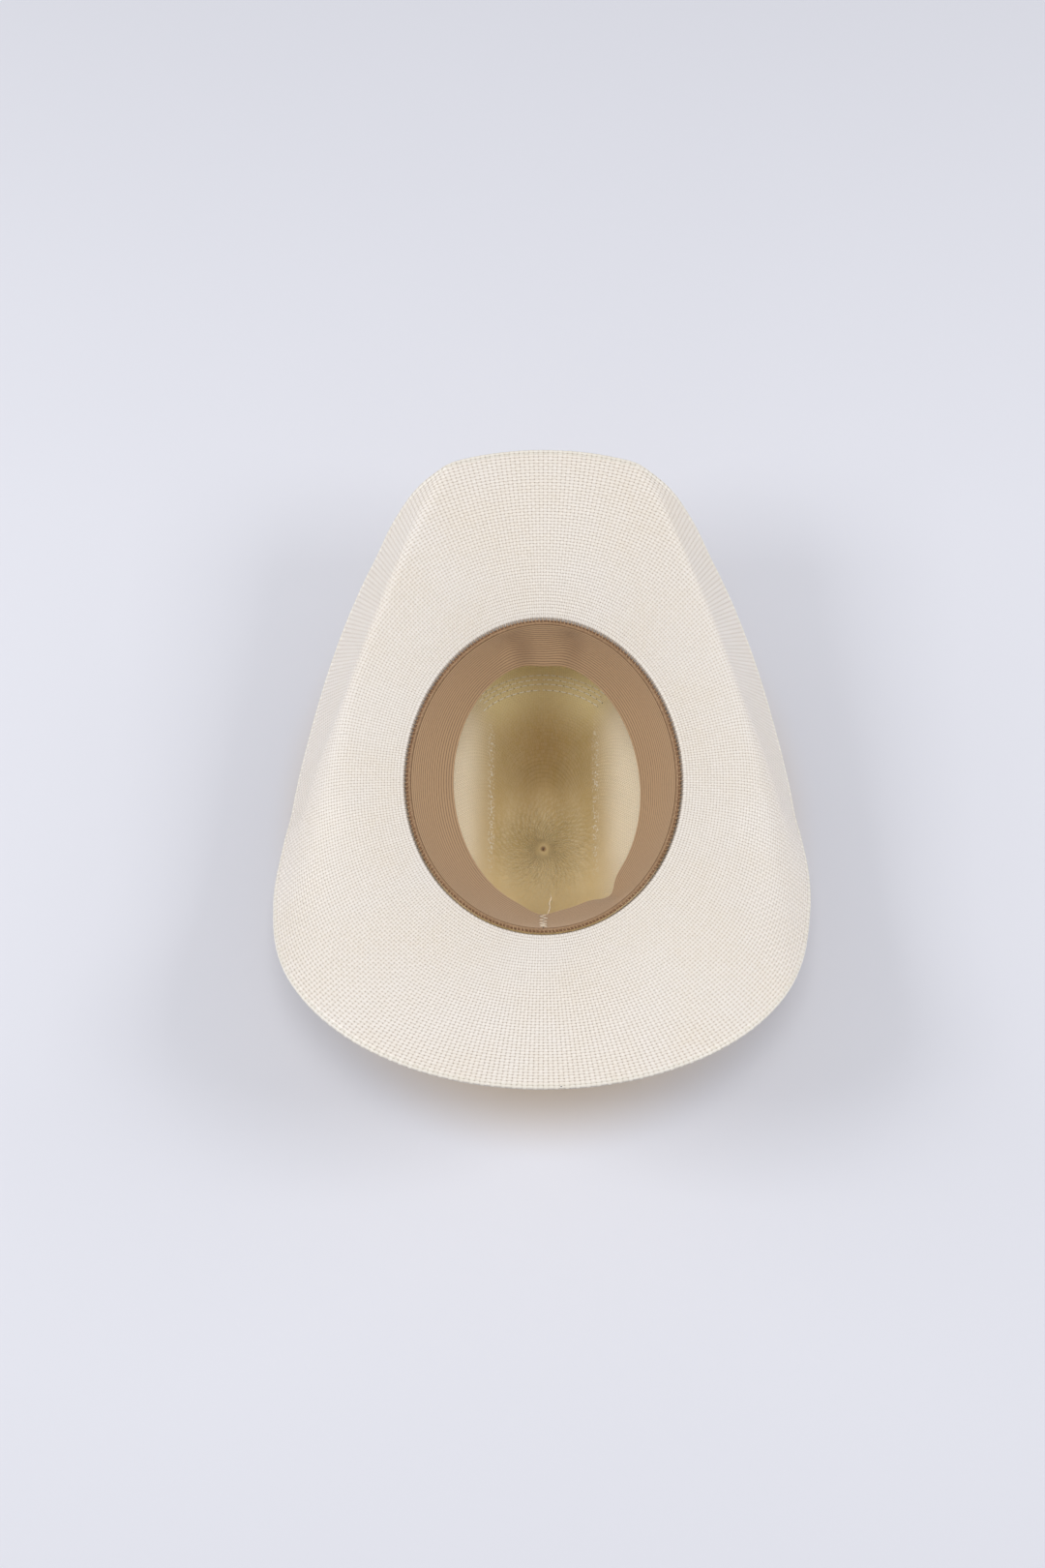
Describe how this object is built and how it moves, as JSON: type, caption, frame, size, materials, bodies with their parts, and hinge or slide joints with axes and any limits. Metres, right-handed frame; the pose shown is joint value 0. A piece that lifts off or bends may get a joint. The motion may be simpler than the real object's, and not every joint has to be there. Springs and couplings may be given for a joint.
{
  "type": "straw western hat",
  "caption": "Woven straw western hat lying on its creased crown, with rolled brim sides, ribbed cloth sweatband and a leather hatband with a buckle.",
  "frame": {"origin": "on the resting plane under the middle of the head opening; the hat lies on its crown, with the head opening up", "axes": "+Z out of the head opening, towards the wearer's chin; -Y towards the front of the hat; +X towards the wearer's right side"},
  "size_m": [0.3392, 0.4084, 0.161],
  "materials": {
    "straw": "fine woven natural straw with a clear stiffening lacquer, satin",
    "straw_hem": "straw folded over the brim wire and lacquered, satin",
    "steel_wire": "plain spring wire",
    "crimp_metal": "plain crimped tube",
    "ribbed_cloth": "tan ribbed elastic cloth, matt",
    "brown_welt": "dark brown cloth-covered reed, matt",
    "cream_thread": "twisted cream sewing thread",
    "cloth_tape": "thin tan cloth tape",
    "strap_leather": "brown smooth leather, lightly grained, rubbed edges",
    "buckle_metal": "polished nickel-plated metal",
    "brown_thread": "brown sewing thread"
  },
  "bodies": {
    "hat": {"straw_body": "straw", "brim_hem": "straw_hem", "brim_wire": "steel_wire", "wire_sleeve": "crimp_metal", "sweatband": "ribbed_cloth", "sweatband_reed": "brown_welt", "reed_stitching": "cream_thread", "seam_stitches": "cream_thread", "seam_tape": "cloth_tape", "hatband_strap": "strap_leather", "strap_billet": "strap_leather", "buckle_frame": "buckle_metal", "buckle_pin": "buckle_metal", "keeper_loop": "buckle_metal", "strap_tip": "buckle_metal", "hatband_tacks": "brown_thread"},
    "prong": {"buckle_prong": "buckle_metal"}
  },
  "joints": [
    {"name": "prong_hinge", "type": "hinge", "parent": "hat", "child": "prong", "pos_m": [-0.07497, 0.06656, 0.09077], "axis": [0.0394, 0.0516, -0.9979], "range_deg": [0, 50]}
  ]
}
